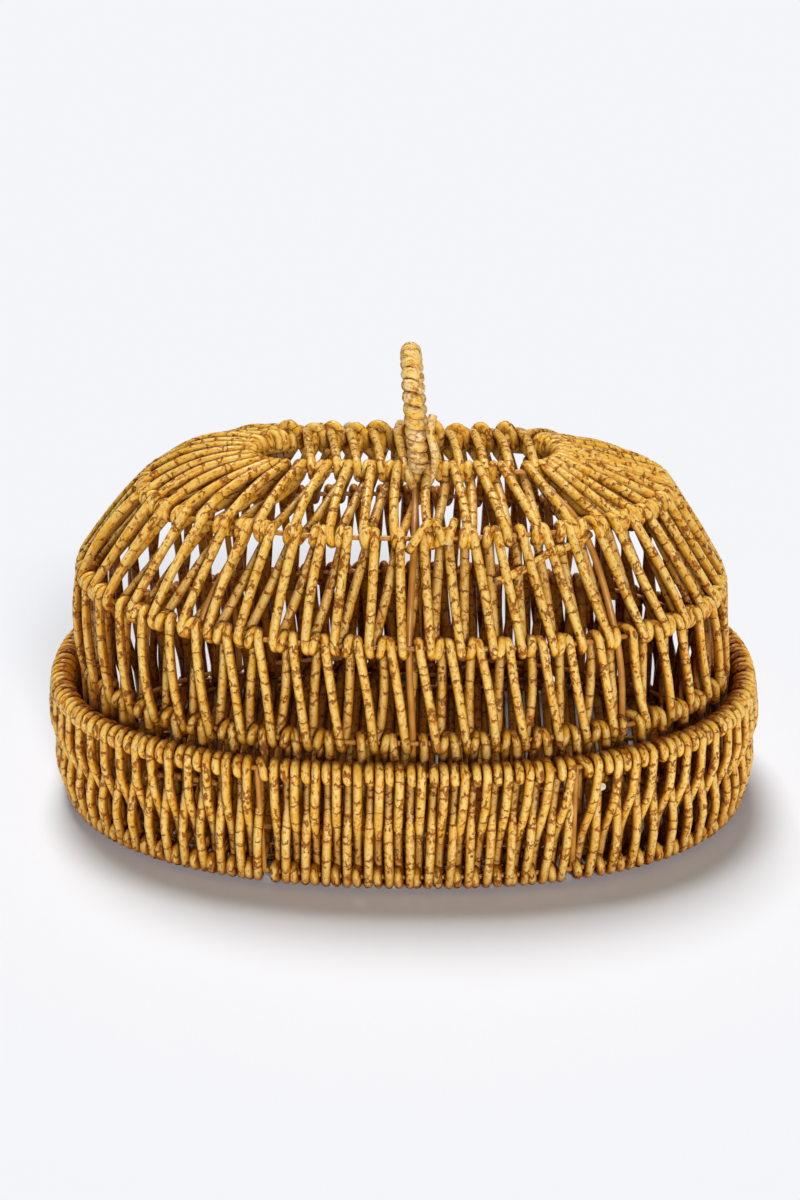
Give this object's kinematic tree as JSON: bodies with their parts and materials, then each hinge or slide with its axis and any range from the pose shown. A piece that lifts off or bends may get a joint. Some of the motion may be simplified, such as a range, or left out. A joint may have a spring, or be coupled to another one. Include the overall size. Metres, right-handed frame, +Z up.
{
  "type": "serving basket",
  "caption": "Oval openwork serving basket: a shallow tray and a domed lift-off lid with an arch handle, both wire frames wound with round plastic rattan cord.",
  "frame": {"origin": "on the table under the middle of the tray", "axes": "+X along the basket's length, +Y from the front to the back across it, +Z up"},
  "size_m": [0.378, 0.2564, 0.2498],
  "materials": {
    "cord": "semi-gloss, mottled straw",
    "wire": "satin orange-brown paint"
  },
  "bodies": {
    "tray": {"tray_bottom_ring": "wire", "tray_rim_ring": "wire", "tray_floor_ring": "wire", "tray_post_front_left": "wire", "tray_post_front_right": "wire", "tray_post_right": "wire", "tray_post_back_right": "wire", "tray_post_back_left": "wire", "tray_post_left": "wire", "tray_wall_winding_front": "cord", "tray_wall_winding_right_front": "cord", "tray_wall_winding_right_back": "cord", "tray_wall_winding_back": "cord", "tray_wall_winding_left_back": "cord", "tray_wall_winding_left_front": "cord", "tray_floor_wire_1": "wire", "tray_floor_wire_2": "wire", "tray_floor_wire_3": "wire", "tray_floor_wire_4": "wire", "tray_floor_winding": "cord"},
    "lid": {"lid_crown_ring": "wire", "lid_shoulder_ring": "wire", "lid_waist_ring": "wire", "lid_collar_ring": "wire", "lid_foot_ring": "wire", "lid_rib_front": "wire", "lid_rib_front_right": "wire", "lid_rib_right": "wire", "lid_rib_back_right": "wire", "lid_rib_back": "wire", "lid_rib_back_left": "wire", "lid_rib_left": "wire", "lid_rib_front_left": "wire", "lid_crown_winding_front": "cord", "lid_crown_winding_right": "cord", "lid_crown_winding_back": "cord", "lid_crown_winding_left": "cord", "lid_shoulder_winding_front": "cord", "lid_shoulder_winding_right": "cord", "lid_shoulder_winding_back": "cord", "lid_shoulder_winding_left": "cord", "lid_waist_winding_front": "cord", "lid_waist_winding_right": "cord", "lid_waist_winding_back": "cord", "lid_waist_winding_left": "cord", "lid_skirt_winding_front": "cord", "lid_skirt_winding_right": "cord", "lid_skirt_winding_back": "cord", "lid_skirt_winding_left": "cord", "lid_top_winding_left": "cord", "lid_top_winding_right": "cord", "lid_handle_hoop": "wire", "lid_handle_winding": "cord"}
  },
  "joints": [
    {"name": "lid_lift", "type": "slide", "parent": "tray", "child": "lid", "axis": [0, 0, 1], "range_m": [0, 0.12]}
  ]
}
